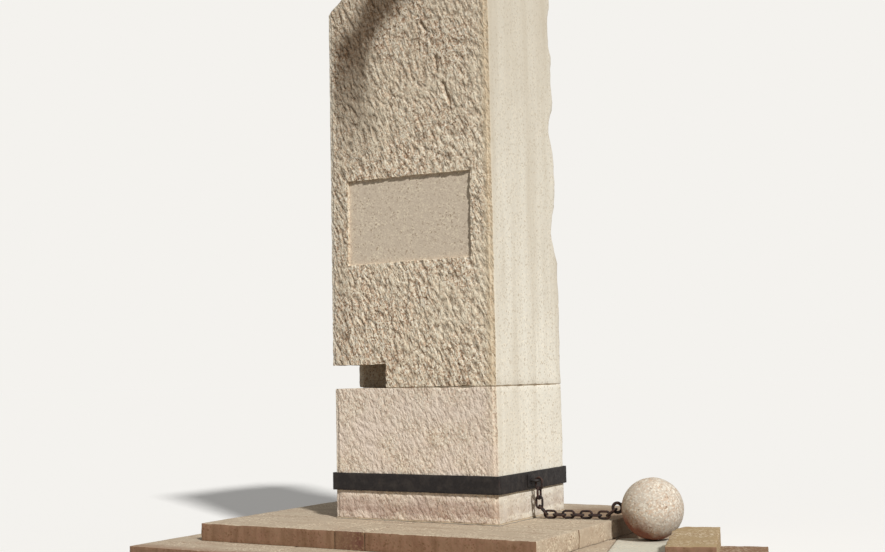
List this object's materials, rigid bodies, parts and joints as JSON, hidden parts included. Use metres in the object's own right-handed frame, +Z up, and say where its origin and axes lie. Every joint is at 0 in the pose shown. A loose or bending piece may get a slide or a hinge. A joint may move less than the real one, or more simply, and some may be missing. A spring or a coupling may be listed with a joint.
{
  "type": "memorial stele",
  "caption": "Tall slab-like granite stele of stacked blocks with a corner notch and a bare recessed panel, iron band, chain and stone ball, on a stepped platform.",
  "frame": {"origin": "ground level, under the middle of the shaft", "axes": "+Z up, -Y out of the front face with the panel, +X towards the chain and the ball"},
  "size_m": [5.4985, 3.508, 6.2862],
  "materials": {
    "shaft_granite": "point-tooled granite, matt",
    "ball_granite": "fine-pecked granite, matt",
    "step_granite": "sawn granite, weathered",
    "dark_granite": "sawn dark granite, weathered",
    "pale_granite": "sawn pale granite, weathered",
    "wing_granite": "rough-split granite, weathered",
    "mortar": "weathered mortar",
    "concrete": "cast concrete",
    "band_iron": "forged iron, weathered black",
    "chain_iron": "forged iron, rusted"
  },
  "bodies": {
    "root": {"lower_block": "shaft_granite", "upper_block": "shaft_granite", "ball": "ball_granite", "upper_front_left": "step_granite", "upper_front_right": "step_granite", "upper_left_slab": "step_granite", "upper_right_slab": "step_granite", "upper_rear_left": "step_granite", "upper_rear_right": "step_granite", "lower_front_left": "step_granite", "lower_front_middle": "step_granite", "lower_front_right": "step_granite", "lower_left_slab": "step_granite", "lower_right_slab": "step_granite", "lower_rear_left": "step_granite", "lower_rear_right": "step_granite", "lower_wedge_slab": "step_granite", "upper_front_narrow": "dark_granite", "ball_bed": "pale_granite", "wing_slab": "wing_granite", "wing_block": "wing_granite", "base_mortar": "mortar", "bed_mortar": "mortar", "footing": "concrete", "band_front": "band_iron", "band_right": "band_iron", "band_rear": "band_iron", "band_left": "band_iron", "band_staple": "band_iron", "chain_link_1": "chain_iron", "chain_link_2": "chain_iron", "chain_link_3": "chain_iron", "chain_link_4": "chain_iron", "chain_link_5": "chain_iron", "chain_link_6": "chain_iron", "chain_link_7": "chain_iron", "chain_link_8": "chain_iron", "chain_link_9": "chain_iron", "chain_link_10": "chain_iron", "chain_link_11": "chain_iron", "chain_link_12": "chain_iron", "ball_eye": "chain_iron"}
  },
  "joints": []
}
